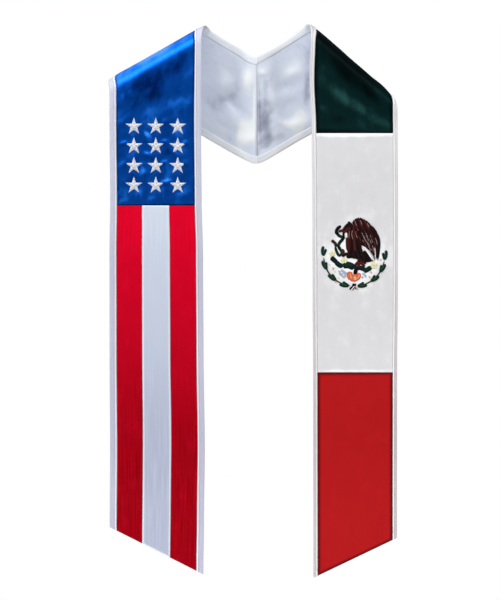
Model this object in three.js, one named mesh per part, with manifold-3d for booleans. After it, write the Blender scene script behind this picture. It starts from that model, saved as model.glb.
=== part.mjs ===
// A satin graduation stole of two mitred bands, as it hangs over a pair of shoulders.
// Millimetres, +Z up. The front panels face -Y, and the origin is the top of the seam at the nape.
// One half carries stars over stripes, the other is a tricolour with an embroidered emblem.
import * as THREE from "three";
import Module from "manifold-3d";

const wasm = await Module();
wasm.setup();

// Cloth
const FABRIC = 1.0; // thickness of one layer of satin
const PIECE_GAP = 0.3; // kept between two pieces that touch
const TRIM_BACK_WIDTH = 6; // of the white border on the lining side
const TRIM_SWELL = 0.25; // how far the border stands proud of the panel beside it
const PIPING_WIDTH = 3.2; // raised fold of the border, beside the panel
const PIPING_HEIGHT = 0.9; // height of that fold over the border
const EMBROIDERY = 0.9; // height of the stitched stars and emblem
const STAR_CROWN = 0.6; // extra height at the middle of a star

// The way it hangs
const SHOULDER_DEPTH = 60; // from the front panels back to the neck part
const FOLD_RISE = 14; // height of the round of the shoulder fold
const FOLD_DRIFT = 16; // how far the band creeps towards the neck as it goes over
const NAPE_SEAM = 156; // length of the mitred seam at the nape
const NAPE_RIDGE = 5; // how far that seam stands forward
const NECK_PITCH = 0.62; // fall of the neck part's lower edge towards that seam, per millimetre
const NECK_BOW = 3; // how far the neck part bows back beside the seam
const HANG_WAVE = 4; // depth of the gentle waves down the front panels

// The two halves, as seen from the front. Angles are in degrees.
const STRIPES = {
  side: -1,
  neckGap: 81, // from the middle plane to the band's inner edge
  neckRise: 46, // from the nape up to the neck end of the shoulder fold
  bandWidth: 136,
  trimWidth: 10, // white border along each edge of the band
  shoulderSlope: 29.4,
  hemSlope: 27.3,
  topLength: 265, // star field, down the inner edge from the shoulder fold
  endLength: 546, // stripes
  upperSag: 0, // of the neck part's edges, between the fold and the nape
  lowerSag: 2,
  seamRound: 9, // radius of the lower edge where it meets the seam at the nape
  foldTuck: 0, // how far the outer corner of the fold is drawn in
};
const TRICOLOUR = {
  side: 1,
  neckGap: 81,
  neckRise: 52,
  bandWidth: 127,
  trimWidth: 6.4,
  shoulderSlope: 40.2,
  hemSlope: 24.9,
  topLength: 164, // green
  middleLength: 354, // white
  endLength: 304, // red
  upperSag: 2,
  lowerSag: -9,
  seamRound: 13,
  foldTuck: 7,
};

// Shares of the width between the borders that the three stripes take, from the inner edge
const STRIPE_SHARES = [0.33, 0.348, 0.322];

// Stars
const STAR_RADIUS = 13.4;
const STAR_WAIST = 0.39; // inner radius over outer radius
const STAR_COLUMNS = 3;
const STAR_ROWS = 4;
const STAR_COLUMN_PITCH = 32.4;
const STAR_ROW_PITCH = 29.1;
const STAR_SEAM_MARGIN = 29.6; // from the seam under the star field up to the lowest row

// Emblem
const EMBLEM_RADIUS = 45.5; // of the wreath
const EMBLEM_SEAM_MARGIN = 181; // from the seam over the white panel down to the wreath's centre

// How far each edge of a band strays from straight, in shares of the band's width, and where, in shares of the
// drop from the shoulder. Positive is away from the middle plane.
const STRIPES_EDGES = [
  { drop: 0.0, inner: 0.0, outer: 0.0 },
  { drop: 0.17, inner: 0.009, outer: -0.003 },
  { drop: 0.32, inner: 0.002, outer: -0.01 },
  { drop: 0.41, inner: -0.013, outer: -0.001 },
  { drop: 0.59, inner: -0.019, outer: -0.002 },
  { drop: 0.77, inner: -0.033, outer: -0.008 },
  { drop: 0.9, inner: -0.024, outer: -0.008 },
  { drop: 1.0, inner: -0.017, outer: -0.01 },
];
const TRICOLOUR_EDGES = [
  { drop: 0.0, inner: 0.0, outer: 0.0 },
  { drop: 0.1, inner: -0.017, outer: 0.0 },
  { drop: 0.19, inner: 0.005, outer: 0.006 },
  { drop: 0.33, inner: 0.013, outer: 0.01 },
  { drop: 0.5, inner: 0.016, outer: 0.008 },
  { drop: 0.62, inner: 0.022, outer: 0.0 },
  { drop: 1.0, inner: 0.025, outer: -0.002 },
];

// The waves down the front panels, in shares of HANG_WAVE, at shares of the way from the hem up to the fold.
// Forward is towards the viewer. Turn is how much further forward the outer edge comes than the inner one.
const STRIPES_WAVES = [
  { at: 0.0, forward: 0.9, turn: 0.9 },
  { at: 0.14, forward: -0.7, turn: 0.3 },
  { at: 0.31, forward: 0.6, turn: -0.7 },
  { at: 0.48, forward: -0.6, turn: 0.4 },
  { at: 0.64, forward: 0.4, turn: 0.0 },
  { at: 0.94, forward: 0.4, turn: 0.0 },
  { at: 1.0, forward: 0.0, turn: 0.0 },
];
const TRICOLOUR_WAVES = [
  { at: 0.0, forward: 0.6, turn: -1.0 },
  { at: 0.17, forward: -0.8, turn: -0.2 },
  { at: 0.34, forward: 0.5, turn: 0.5 },
  { at: 0.47, forward: 0.0, turn: 0.0 },
  { at: 0.76, forward: 0.0, turn: 0.0 },
  { at: 0.89, forward: -0.8, turn: 0.4 },
  { at: 1.0, forward: 0.0, turn: 0.0 },
];

// The long pieces are in three stretches: each of them starts and ends at a shoulder fold.
const STRETCHES = [
  { name: "front", from: 0, to: 1 },
  { name: "shoulder", from: 1, to: 2 },
  { name: "neck", from: 2, to: 3 },
];

// Facets
const PANEL_STEP = 36; // longest facet down a front panel
const ARCH_STEPS = 10; // over the shoulder fold
const NECK_STEPS = 8; // from the fold to the nape
const LANES = 2; // facets across a stripe, or a third of a panel

const COLOURS = {
  blue: 0x0a4aa8,
  red: 0xc8102e,
  flagRed: 0xb81d21,
  green: 0x0b2b2b,
  whiteSatin: 0xdfe3ee,
  whitePanel: 0xdddbde,
  trim: 0xd2d4e2,
  lining: 0xc8cede,
  thread: 0xf2f2f4,
  brown: 0x3c1614,
  leaf: 0x0f3b28,
  cactus: 0x0c2a2e,
  rock: 0xe0703c,
  water: 0x7fa0bd,
  blossom: 0xe9e4ae,
};

const radians = THREE.MathUtils.degToRad;
const lerp = THREE.MathUtils.lerp;

// A column of a table between its rows, level at each row.
function eased(rows, column, key, at) {
  const next = rows.findIndex((row) => row[key] >= at);
  if (next === 0) return rows[0][column];
  if (next < 0) return rows[rows.length - 1][column];
  const before = rows[next - 1];
  const after = rows[next];
  const share = THREE.MathUtils.smoothstep(at, before[key], after[key]);
  return lerp(before[column], after[column], share);
}

// One half of the stole as a surface: across runs from 0 at the inner edge to 1 at the outer edge. Along runs from
// 0 at the hem to 1 where the shoulder fold starts, 2 where it ends and 3 at the nape.
function makeBand(half, edges, waves) {
  const slope = radians(half.shoulderSlope);
  const reach = half.bandWidth * Math.tan(slope);
  const round = FOLD_RISE / Math.cos(slope);
  const length = half.topLength + (half.middleLength ?? 0) + half.endLength;
  const hemLift = half.bandWidth * Math.tan(radians(half.hemSlope));
  const foldZ = half.neckRise;
  const hemZ = foldZ - length;
  const startZ = foldZ - round;
  const seams = [foldZ - half.topLength];
  if (half.middleLength) seams.push(seams[0] - half.middleLength);
  const alongAt = (z) => (z - hemZ) / (startZ - hemZ);
  // Height of the outer edge where the inner edge is at a row
  const rows = [
    { along: 0, outerZ: hemZ + hemLift },
    ...seams.map((z) => ({ along: alongAt(z), outerZ: z })).reverse(),
    { along: 1, outerZ: startZ - reach },
  ];

  function outerHeight(along) {
    const next = Math.max(1, rows.findIndex((row) => row.along >= along));
    const before = rows[next - 1];
    const after = rows[next];
    const share = (along - before.along) / (after.along - before.along);
    return lerp(before.outerZ, after.outerZ, share);
  }

  // A point of the front panel as (distance from the middle plane, height)
  function frontPlace(across, along) {
    const innerZ = lerp(hemZ, startZ, along);
    const outerZ = outerHeight(along);
    const stray = (z, edge) => half.bandWidth * eased(edges, edge, "drop", (foldZ - z) / length);
    const innerX = half.neckGap + stray(innerZ, "inner");
    const outerX = half.neckGap + half.bandWidth + stray(outerZ, "outer");
    return new THREE.Vector2(lerp(innerX, outerX, across), lerp(innerZ, outerZ, across));
  }

  function foldBase(across, share) {
    const drift = new THREE.Vector2(-Math.cos(slope), Math.sin(slope));
    return frontPlace(across, 1).addScaledVector(drift, FOLD_DRIFT * share);
  }

  function front(across, along) {
    const place = frontPlace(across, along);
    const forward = eased(waves, "forward", "at", along);
    const turn = eased(waves, "turn", "at", along) * (across - 0.5);
    return [place.x, -SHOULDER_DEPTH - HANG_WAVE * (forward + turn), place.y];
  }

  function arch(across, share) {
    const angle = Math.PI * share;
    const rise = FOLD_RISE * Math.sin(angle);
    const base = foldBase(across, share);
    const tuck = half.foldTuck * Math.sin(angle) * across ** 6;
    const depth = (SHOULDER_DEPTH / 2) * (1 + Math.cos(angle));
    return [base.x + rise * Math.sin(slope) - tuck, -depth, base.y + rise * Math.cos(slope)];
  }

  function neck(across, share) {
    const bend = 4 * share * (1 - share);
    const upper = foldBase(0, 1).lerp(new THREE.Vector2(PIECE_GAP / 2, 0), share);
    const lowest = -NAPE_SEAM - NECK_PITCH * half.seamRound;
    const lower = foldBase(1, 1).lerp(new THREE.Vector2(PIECE_GAP / 2, lowest), share);
    upper.y -= half.upperSag * bend;
    lower.y -= half.lowerSag * bend;
    lower.y += NECK_PITCH * (Math.hypot(lower.x, half.seamRound) - lower.x);
    const place = upper.lerp(lower, across);
    const bow = NECK_BOW * Math.sin(Math.PI * share) ** 2;
    const ridge = NAPE_RIDGE * THREE.MathUtils.smoothstep(share, 0.55, 1) ** 2;
    return [place.x, bow - ridge, place.y];
  }

  function point(across, along) {
    let place;
    if (along <= 1) place = front(across, along);
    else if (along <= 2) place = arch(across, along - 1);
    else place = neck(across, along - 2);
    return new THREE.Vector3(half.side * place[0], place[1], place[2]);
  }

  // Points away from the wearer
  function normal(across, along) {
    const step = 1e-4;
    const low = Math.max(0, along - step);
    const high = Math.min(3, along + step);
    const sideways = point(across + step, along).sub(point(across - step, along));
    const onwards = point(across, high).sub(point(across, low));
    return sideways.cross(onwards).multiplyScalar(half.side).normalize();
  }

  return { half, point, normal, seamAlong: seams.map(alongAt), seams, startZ, hemZ };
}

// Steps from one place along a band to another, with a row at each border between front, fold and neck
function stations(band, from, to) {
  const frontLength = band.startZ - band.hemZ;
  const marks = [
    { until: band.seamAlong[1] ?? 0, steps: stepsFor(frontLength * (band.seamAlong[1] ?? 0)) },
    { until: band.seamAlong[0], steps: stepsFor(frontLength * (band.seamAlong[0] - (band.seamAlong[1] ?? 0))) },
    { until: 1, steps: stepsFor(frontLength * (1 - band.seamAlong[0])) },
    { until: 2, steps: ARCH_STEPS },
    { until: 3, steps: NECK_STEPS },
  ];
  const list = [from];
  let start = 0;
  for (const { until, steps } of marks) {
    for (let i = 1; i <= steps; i++) {
      const along = lerp(start, until, i / steps);
      if (along > from + 1e-3 && along < to - 1e-3) list.push(along);
    }
    start = until;
  }
  return [...list, to];
}

function stepsFor(length) {
  return Math.ceil(length / PANEL_STEP);
}

// A closed mesh from its points and triangles, turned to face out
function closedMesh(points, triangles) {
  let volume = 0;
  for (const [a, b, c] of triangles) volume += points[a].dot(points[b].clone().cross(points[c]));
  const index = triangles.flatMap(([a, b, c]) => (volume < 0 ? [a, c, b] : [a, b, c]));
  const geometry = new THREE.BufferGeometry().setFromPoints(points);
  geometry.setIndex(index);
  return geometry;
}

// A strip of cloth between two places along a band. Each line runs along the band at one place across it, and has
// the heights of the strip's two faces over the band's surface.
function strip(band, from, to, lines) {
  const rows = stations(band, from, to);
  const points = [];
  for (const along of rows) {
    for (const { across, top, bottom } of lines) {
      const middle = band.point(across, along);
      const out = band.normal(across, along);
      points.push(middle.clone().addScaledVector(out, top));
      points.push(middle.clone().addScaledVector(out, bottom));
    }
  }
  const at = (row, line, face) => (row * lines.length + line) * 2 + face;
  const triangles = [];
  const quad = (a, b, c, d) => triangles.push([a, b, c], [a, c, d]);
  const last = lines.length - 1;
  for (let row = 0; row + 1 < rows.length; row++) {
    for (let line = 0; line < last; line++) {
      quad(at(row, line, 0), at(row, line + 1, 0), at(row + 1, line + 1, 0), at(row + 1, line, 0));
      quad(at(row, line, 1), at(row + 1, line, 1), at(row + 1, line + 1, 1), at(row, line + 1, 1));
    }
    quad(at(row, 0, 1), at(row, 0, 0), at(row + 1, 0, 0), at(row + 1, 0, 1));
    quad(at(row, last, 0), at(row, last, 1), at(row + 1, last, 1), at(row + 1, last, 0));
  }
  for (let line = 0; line < last; line++) {
    quad(at(0, line, 0), at(0, line, 1), at(0, line + 1, 1), at(0, line + 1, 0));
    const end = rows.length - 1;
    quad(at(end, line, 0), at(end, line + 1, 0), at(end, line + 1, 1), at(end, line, 1));
  }
  return closedMesh(points, triangles);
}

// The lines of a flat layer between two places across a band, with a gap left at both sides
function layer(band, from, to, lanes, bottom) {
  const gap = PIECE_GAP / 2 / band.half.bandWidth;
  const lines = [];
  for (let i = 0; i <= lanes; i++) {
    lines.push({ across: lerp(from + gap, to - gap, i / lanes), top: bottom + FABRIC, bottom });
  }
  return lines;
}

const OUTER = PIECE_GAP / 2; // the outer layer's underside, over the band's middle surface
const INNER = -PIECE_GAP / 2 - FABRIC; // the lining's far side

// How far the border reaches in on the lining side, where the lining takes over
function backWidth(band) {
  return Math.min(TRIM_BACK_WIDTH, band.half.trimWidth - PIPING_WIDTH);
}

// The lines of a border at the inner or outer edge: a flat fold with a raised piping beside the panel. The fold is
// narrower on the lining side where the border is wide.
function trimLines(band, outerEdge) {
  const flat = FABRIC + PIECE_GAP / 2 + TRIM_SWELL;
  const width = band.half.trimWidth - PIECE_GAP / 2;
  const back = backWidth(band) - PIECE_GAP;
  const profile = [
    { in: 0, top: flat / 2, bottom: -flat / 2 },
    { in: flat, top: flat, bottom: -flat },
    { in: back, top: flat, bottom: -flat },
    { in: back + PIECE_GAP / 2, top: flat, bottom: OUTER },
    { in: width - PIPING_WIDTH / 2, top: flat + PIPING_HEIGHT, bottom: OUTER },
    { in: width, top: flat, bottom: OUTER },
  ];
  return profile.map(({ in: inwards, top, bottom }) => {
    const share = inwards / band.half.bandWidth;
    return { across: outerEdge ? 1 - share : share, top, bottom };
  });
}

const stole = new THREE.Group();

function addMesh(name, geometry, colour, roughness = 0.4) {
  const material = new THREE.MeshStandardMaterial({ color: colour, roughness, metalness: 0 });
  const mesh = new THREE.Mesh(geometry, material);
  mesh.name = name;
  stole.add(mesh);
  return mesh;
}

// How much of a stretch half the gap between two pieces takes, along the middle of the band
function gapShare(band, along) {
  const step = 0.01;
  const low = Math.max(0, along - step);
  const high = Math.min(3, along + step);
  const length = band.point(0.5, low).distanceTo(band.point(0.5, high)) / (high - low);
  return PIECE_GAP / 2 / length;
}

// The ends of a piece between two places along a half, with a gap left where another piece follows
function ends(band, from, to) {
  const low = from === 0 ? 0 : from + gapShare(band, from + 0.02);
  const high = to === 3 ? 3 : to - gapShare(band, to - 0.02);
  return [low, high];
}

// The borders and the lining run the whole length of a half.
function addEdgesAndLining(band, name) {
  const back = backWidth(band) / band.half.bandWidth;
  const lining = layer(band, back, 1 - back, 3 * LANES, INNER);
  for (const stretch of STRETCHES) {
    const [low, high] = ends(band, stretch.from, stretch.to);
    const add = (piece, lines, colour) => {
      addMesh(`${name}_${piece}_${stretch.name}`, strip(band, low, high, lines), colour);
    };
    add("trim_inner", trimLines(band, false), COLOURS.trim);
    add("trim_outer", trimLines(band, true), COLOURS.trim);
    add("lining", lining, COLOURS.lining);
  }
}

// A panel of the outer layer between two places along a half, with a gap left at seams
function addPanel(band, name, colour, from, to, across = [0, 1]) {
  const trimShare = band.half.trimWidth / band.half.bandWidth;
  const clear = 1 - 2 * trimShare;
  const lanes = Math.max(LANES, Math.round(3 * LANES * (across[1] - across[0])));
  const lines = layer(band, trimShare + clear * across[0], trimShare + clear * across[1], lanes, OUTER);
  addMesh(name, strip(band, ...ends(band, from, to), lines), colour);
}

// The outer face of the front panels where they lie flat, at a place along the band
function faceDepth(band, along) {
  return band.point(0.5, along).y - OUTER - FABRIC;
}

// A star with a raised middle, in its own plane, facing +Z
function starGeometry() {
  const points = [new THREE.Vector3(0, 0, 0), new THREE.Vector3(0, 0, EMBROIDERY + STAR_CROWN)];
  const tips = 5;
  const triangles = [];
  const corners = 2 * tips;
  for (let i = 0; i < corners; i++) {
    const radius = i % 2 ? STAR_RADIUS * STAR_WAIST : STAR_RADIUS;
    const angle = Math.PI / 2 + (i * Math.PI) / tips;
    const x = radius * Math.cos(angle);
    const y = radius * Math.sin(angle);
    points.push(new THREE.Vector3(x, y, 0), new THREE.Vector3(x, y, EMBROIDERY));
    const low = 2 + 2 * i;
    const next = 2 + 2 * ((i + 1) % corners);
    triangles.push([0, next, low], [1, low + 1, next + 1], [low, next, next + 1], [low, next + 1, low + 1]);
  }
  return closedMesh(points, triangles);
}

function addStars(band) {
  const seamZ = band.seams[0];
  const depth = faceDepth(band, (band.seamAlong[0] + 1) / 2) - PIECE_GAP;
  const centre = band.half.side * (band.half.neckGap + band.half.bandWidth / 2);
  for (let row = 0; row < STAR_ROWS; row++) {
    for (let column = 0; column < STAR_COLUMNS; column++) {
      const star = addMesh(`star_${row + 1}_${column + 1}`, starGeometry(), COLOURS.thread, 0.6);
      star.rotation.x = Math.PI / 2;
      const x = centre + (column - (STAR_COLUMNS - 1) / 2) * STAR_COLUMN_PITCH;
      const z = seamZ + STAR_SEAM_MARGIN + (STAR_ROWS - 1 - row) * STAR_ROW_PITCH;
      star.position.set(x, depth, z);
    }
  }
}

// A flat solid from an outline, EMBROIDERY high
function raised(shape, curveSegments = 3) {
  return new THREE.ExtrudeGeometry(shape, { depth: EMBROIDERY, bevelEnabled: false, curveSegments });
}

function solidOf(geometry) {
  const found = new Map();
  const vertices = [];
  const place = geometry.getAttribute("position");
  const index = geometry.index ? [...geometry.index.array] : [...Array(place.count).keys()];
  const triVerts = index.map((i) => {
    const at = [place.getX(i), place.getY(i), place.getZ(i)];
    const key = at.map((value) => Math.round(value * 1e4)).join();
    if (!found.has(key)) {
      found.set(key, vertices.length / 3);
      vertices.push(...at);
    }
    return found.get(key);
  });
  const mesh = new wasm.Mesh({
    numProp: 3,
    vertProperties: new Float32Array(vertices),
    triVerts: new Uint32Array(triVerts),
  });
  return new wasm.Manifold(mesh);
}

function joined(geometries) {
  const made = geometries.map(solidOf).reduce((all, next) => all.add(next));
  const mesh = made.getMesh();
  const geometry = new THREE.BufferGeometry();
  geometry.setAttribute("position", new THREE.BufferAttribute(new Float32Array(mesh.vertProperties), 3));
  geometry.setIndex(new THREE.BufferAttribute(new Uint32Array(mesh.triVerts), 1));
  return geometry;
}

const inEmblem = ({ x, y }) => new THREE.Vector2(x * EMBLEM_RADIUS, y * EMBLEM_RADIUS);

// An ellipse of stitching: its centre, half width and half height in shares of the emblem's radius, and its turn
function lobe({ x, y, across, up, turn = 0 }, curveSegments = 3) {
  const shape = new THREE.Shape();
  const centre = inEmblem({ x, y });
  const half = inEmblem({ x: across, y: up });
  shape.absellipse(centre.x, centre.y, half.x, half.y, 0, 2 * Math.PI, false, radians(turn));
  return raised(shape, curveSegments);
}

// A line of stitching through points, as wide as the share of the emblem's radius at its start and at its end
function line(points, startWidth, endWidth, steps) {
  const curve = new THREE.CatmullRomCurve3(points.map((p) => new THREE.Vector3(inEmblem(p).x, inEmblem(p).y, 0)));
  const left = [];
  const right = [];
  for (let i = 0; i <= steps; i++) {
    const place = curve.getPoint(i / steps);
    const way = curve.getTangent(i / steps);
    const half = (lerp(startWidth, endWidth, i / steps) * EMBLEM_RADIUS) / 2;
    left.push(new THREE.Vector2(place.x - way.y * half, place.y + way.x * half));
    right.unshift(new THREE.Vector2(place.x + way.y * half, place.y - way.x * half));
  }
  return raised(new THREE.Shape([...left, ...right]));
}

// Every place in the emblem is in shares of its radius, from the wreath's centre.
const EAGLE = [
  { part: "shoulder of the wing", x: 0.3, y: 0.76, across: 0.44, up: 0.43, turn: -20 },
  { part: "long feathers", x: 0.7, y: 0.3, across: 0.1, up: 0.44, turn: 4 },
  { part: "middle feathers", x: 0.46, y: 0.36, across: 0.34, up: 0.2, turn: -50 },
  { part: "breast", x: -0.04, y: 0.36, across: 0.24, up: 0.42, turn: 8 },
  { part: "neck", x: -0.14, y: 0.82, across: 0.15, up: 0.28, turn: -20 },
  { part: "head", x: -0.25, y: 0.78, across: 0.12, up: 0.11, turn: 30 },
  { part: "thigh", x: 0.06, y: 0.0, across: 0.24, up: 0.12, turn: -12 },
  { part: "foot", x: 0.19, y: -0.26, across: 0.15, up: 0.07, turn: -8 },
  { part: "leg", x: 0.16, y: -0.14, across: 0.06, up: 0.14, turn: 0 },
  { part: "tail", x: 0.38, y: -0.07, across: 0.28, up: 0.09, turn: -32 },
];
const SNAKE = [
  { x: -0.44, y: 0.93 },
  { x: -0.57, y: 0.77 },
  { x: -0.5, y: 0.63 },
  { x: -0.38, y: 0.53 },
  { x: -0.5, y: 0.34 },
  { x: -0.38, y: 0.2 },
  { x: -0.46, y: 0.01 },
  { x: -0.62, y: 0.2 },
  { x: -0.69, y: 0.46 },
];
const PADS = [
  { x: -0.62, y: -0.17, across: 0.11, up: 0.09, turn: -35 },
  { x: -0.45, y: -0.32, across: 0.13, up: 0.09, turn: -30 },
  { x: -0.17, y: -0.41, across: 0.2, up: 0.1, turn: -16 },
  { x: 0.02, y: -0.51, across: 0.06, up: 0.16, turn: 0 },
  { x: 0.2, y: -0.48, across: 0.17, up: 0.07, turn: 14 },
  { x: 0.42, y: -0.49, across: 0.14, up: 0.085, turn: 22 },
];
const ROCK = [
  { x: -0.15, y: -0.67, across: 0.1, up: 0.11 },
  { x: 0.16, y: -0.71, across: 0.09, up: 0.1 },
  { x: 0.0, y: -0.8, across: 0.18, up: 0.07 },
];
const WATER = [
  { x: -0.38, y: -0.58, across: 0.11, up: 0.06, turn: -30 },
  { x: 0.34, y: -0.67, across: 0.05, up: 0.07 },
];
const BLOSSOMS = [
  { x: -0.73, y: 0.0, across: 0.075, up: 0.075 },
  { x: -0.33, y: -0.18, across: 0.07, up: 0.07 },
  { x: 0.66, y: -0.39, across: 0.08, up: 0.08 },
];
const RIBBON = [
  { x: 0.0, y: -1.01, across: 0.07, up: 0.045 },
  { x: -0.06, y: -1.07, across: 0.07, up: 0.03, turn: 40 },
  { x: 0.06, y: -1.07, across: 0.07, up: 0.03, turn: -40 },
];
// The wreath's two branches, in degrees from its foot
const BRANCHES = [
  { name: "wreath_left", side: -1, leaves: [20, 47, 72, 99], tip: 92 },
  { name: "wreath_right", side: 1, leaves: [17, 44, 67, 92], tip: 86 },
];
const BRANCH_FOOT = 6;
const BRANCH_WIDTH = 0.035;
const SNAKE_WIDTH = { start: 0.08, end: 0.05 };
const STEM_WIDTH = 0.06;
const LEAF = { across: 0.16, up: 0.075, lean: 70 };

// One branch of the wreath with its leaves
function branch({ side, leaves, tip }) {
  const at = (degrees) => {
    const angle = radians(side * degrees - 90);
    return { x: Math.cos(angle), y: Math.sin(angle) };
  };
  const stem = [0, 0.25, 0.5, 0.75, 1].map((share) => at(lerp(BRANCH_FOOT, tip, share)));
  const blades = leaves.map((degrees) => {
    return lobe({ ...at(degrees), across: LEAF.across, up: LEAF.up, turn: side * (degrees + LEAF.lean) - 90 });
  });
  return joined([line(stem, BRANCH_WIDTH, BRANCH_WIDTH, 10), ...blades]);
}

function addEmblem(band) {
  const face = faceDepth(band, (band.seamAlong[0] + band.seamAlong[1]) / 2);
  const centre = band.half.side * (band.half.neckGap + band.half.bandWidth / 2);
  const add = (name, geometry, colour) => {
    const mesh = addMesh(name, geometry, colour, 0.6);
    mesh.rotation.x = Math.PI / 2;
    mesh.position.set(centre, face - PIECE_GAP, band.seams[0] - EMBLEM_SEAM_MARGIN);
  };
  const lobes = (rows) => rows.map((row) => lobe(row));
  add("eagle", joined(EAGLE.map((row) => lobe(row, 5))), COLOURS.brown);
  add("snake", line(SNAKE, SNAKE_WIDTH.start, SNAKE_WIDTH.end, 30), COLOURS.leaf);
  add("cactus", joined([line(PADS, STEM_WIDTH, STEM_WIDTH, 10), ...lobes(PADS)]), COLOURS.cactus);
  add("rock", joined(lobes(ROCK)), COLOURS.rock);
  add("ribbon", joined(lobes(RIBBON)), COLOURS.thread);
  WATER.forEach((row, i) => add(`water_${i + 1}`, lobe(row), COLOURS.water));
  BLOSSOMS.forEach((row, i) => add(`blossom_${i + 1}`, lobe(row), COLOURS.blossom));
  for (const row of BRANCHES) add(row.name, branch(row), COLOURS.leaf);
}

function addStripesHalf() {
  const band = makeBand(STRIPES, STRIPES_EDGES, STRIPES_WAVES);
  const [seam] = band.seamAlong;
  addEdgesAndLining(band, "stripes");
  addPanel(band, "star_field", COLOURS.blue, seam, 3);
  let across = 0;
  STRIPE_SHARES.forEach((share, i) => {
    const colour = i % 2 ? COLOURS.whiteSatin : COLOURS.red;
    addPanel(band, `stripe_${i + 1}`, colour, 0, seam, [across, across + share]);
    across += share;
  });
  addStars(band);
}

function addTricolourHalf() {
  const band = makeBand(TRICOLOUR, TRICOLOUR_EDGES, TRICOLOUR_WAVES);
  const [upper, lower] = band.seamAlong;
  addEdgesAndLining(band, "tricolour");
  addPanel(band, "green_panel", COLOURS.green, upper, 3);
  addPanel(band, "white_panel", COLOURS.whitePanel, lower, upper);
  addPanel(band, "red_panel", COLOURS.flagRed, 0, lower);
  addEmblem(band);
}

addStripesHalf();
addTricolourHalf();

export default stole;
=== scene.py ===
import math

import bmesh
import bpy
import numpy as np
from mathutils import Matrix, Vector


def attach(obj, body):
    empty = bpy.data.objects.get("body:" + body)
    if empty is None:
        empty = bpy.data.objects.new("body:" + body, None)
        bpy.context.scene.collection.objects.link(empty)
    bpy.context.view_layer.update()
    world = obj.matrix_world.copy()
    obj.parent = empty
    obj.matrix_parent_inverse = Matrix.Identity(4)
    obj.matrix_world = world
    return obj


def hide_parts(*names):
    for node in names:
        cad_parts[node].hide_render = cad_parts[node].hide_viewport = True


# A satin graduation stole as it hangs when worn. Sizes are in millimetres until a mesh is made.
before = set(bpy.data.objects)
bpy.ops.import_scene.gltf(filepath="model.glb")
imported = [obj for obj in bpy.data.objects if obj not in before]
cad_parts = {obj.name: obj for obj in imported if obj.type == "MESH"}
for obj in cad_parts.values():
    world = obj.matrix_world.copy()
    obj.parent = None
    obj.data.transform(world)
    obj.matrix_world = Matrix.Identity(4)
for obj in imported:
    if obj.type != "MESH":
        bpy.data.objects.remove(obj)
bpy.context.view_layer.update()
MM = 0.001

# Cloth
FABRIC = 1.0  # thickness of one layer of satin
PIECE_GAP = 0.3
OUTER = PIECE_GAP / 2  # the outer layer's underside, over the middle of the band
INNER = -PIECE_GAP / 2 - FABRIC  # the lining's far side
TRIM_BACK_WIDTH = 6.0
PIPING_WIDTH = 3.2
PIPING_HEIGHT = 0.9
PIPING_LIGHT = 0.75  # painted highlight on the piping, added to its shine
TRIM_HEIGHT = 1.4
FLAP_HEIGHT = 2.1  # how far the border stands over the lining's side
EDGE_ROLL = 1.7  # how far in from its edge a panel rounds over
EDGE_DROP = 0.75  # how far it rounds down, as a share of its thickness
SEAM_GROOVE = 0.35  # width of the groove on each side of a seam
TRIM_CLEAR = 0.1  # kept free between a border and the panel beside it
FLAP_CLEAR = 0.12  # kept free between the lining and the border folded over it
PUCKER_MARGIN = 4.0  # how far in from its seams the star field puckers in full

# The way it hangs
SHOULDER_DEPTH = 60.0
FOLD_RISE = 14.0
FOLD_DRIFT = 16.0
NAPE_SEAM = 156.0
NAPE_LIFT = 3.0  # how far the upper edge stands up at the nape
NAPE_RIDGE = 5.0
NECK_PITCH = 0.62  # fall of the neck part's lower edge towards the nape's seam
NECK_BOW = 3.0
HANG_WAVE = 4.0
FOLD_LEAD = 10.0  # how far below the shoulder the front starts to round over
FOLD_ROUND = 2.7  # 2 is an ellipse, more turns over closer to the top
FOLD_LEAN = 4.5  # how far the top of the inner edge leans towards the neck
FOLD_LIFT = 2.7  # how far the inner edge stands up behind the fold
HOOK_AT = 0.86  # where the upper edge hangs lowest, as a share of the neck part
HOOK_LENGTH = 0.15

STRIPES = {
    "name": "stripes", "side": -1, "neck_gap": 81.0, "neck_rise": 46.0, "band_width": 136.0,
    "trim_width": 10.0, "flap_width": 9.6, "shoulder_slope": 29.4, "hem_slope": 27.3, "hem_cut": 35.0,
    "lengths": [265.0, 546.0], "upper_sag": 1.9, "upper_hook": 3.0, "lower_sag": 2.0, "seam_round": 9.0,
    "fold_tuck": -1.5,
}
TRICOLOUR = {
    "name": "tricolour", "side": 1, "neck_gap": 81.0, "neck_rise": 52.0, "band_width": 127.0,
    "trim_width": 6.4, "flap_width": 8.8, "shoulder_slope": 40.2, "hem_slope": 24.9, "hem_cut": 30.0,
    "lengths": [164.0, 354.0, 304.0], "upper_sag": 2.2, "upper_hook": 0.0, "lower_sag": -10.0,
    "seam_round": 14.0, "fold_tuck": 7.0,
}
# Along the middle, from the seam below over the shoulder to the nape
GREEN_LENGTH = 360.0
STRIPE_SHARES = [0.33, 0.348, 0.322]  # of the width between the borders


def table(text):
    """The rows of a table of numbers, by the names in its first line."""
    names, *rows = [line.split() for line in text.strip().splitlines()]
    return [dict(zip(names, map(float, row))) for row in rows]


# How far each edge strays from straight, in shares of the band's width, at shares of the drop from the
# shoulder
STRIPES_EDGES = table("""
drop inner outer
0 0 0.01
0.17 0.009 0.005
0.32 0.002 -0.003
0.41 -0.013 0.005
0.59 -0.019 0.004
0.77 -0.033 -0.002
0.9 -0.024 0.002
1 -0.017 0.003
""")
TRICOLOUR_EDGES = table("""
drop inner outer
0 0 0
0.1 -0.017 0
0.19 0.005 0.006
0.33 0.013 0.01
0.5 0.016 0.008
0.62 0.022 0
1 0.025 -0.002
""")
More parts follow.
